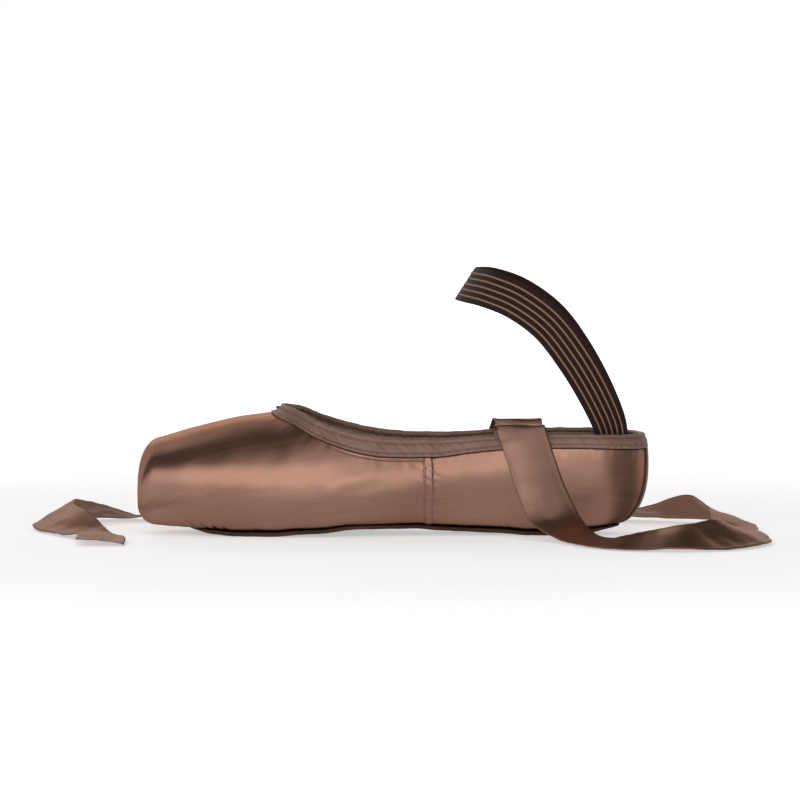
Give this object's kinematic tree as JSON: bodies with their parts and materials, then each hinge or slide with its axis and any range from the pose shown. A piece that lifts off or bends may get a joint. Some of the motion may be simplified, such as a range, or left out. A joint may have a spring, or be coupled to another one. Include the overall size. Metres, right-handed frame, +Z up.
{
  "type": "pointe shoe",
  "caption": "Brown satin pointe shoe with stiff toe box, thin leather sole, ribbed ankle elastic and two ribbons laid on the floor.",
  "frame": {"origin": "on the floor under the middle of the shoe, half way between toe platform and heel back", "axes": "+Z up, toe towards -Y, heel towards +Y, +X towards the side that faces the viewer"},
  "size_m": [0.2348, 0.3446, 0.124],
  "materials": {
    "satin": "satin",
    "casing": "matt",
    "ribbon": "satin",
    "elastic": "matt",
    "sole_leather": "matt",
    "lining": "matt"
  },
  "bodies": {
    "root": {"upper": "satin", "outsole": "sole_leather", "insole": "lining", "collar_binding": "casing", "ankle_elastic": "elastic", "drawstring_knot": "casing", "ribbon_inner": "ribbon", "ribbon_outer": "ribbon"}
  },
  "joints": []
}
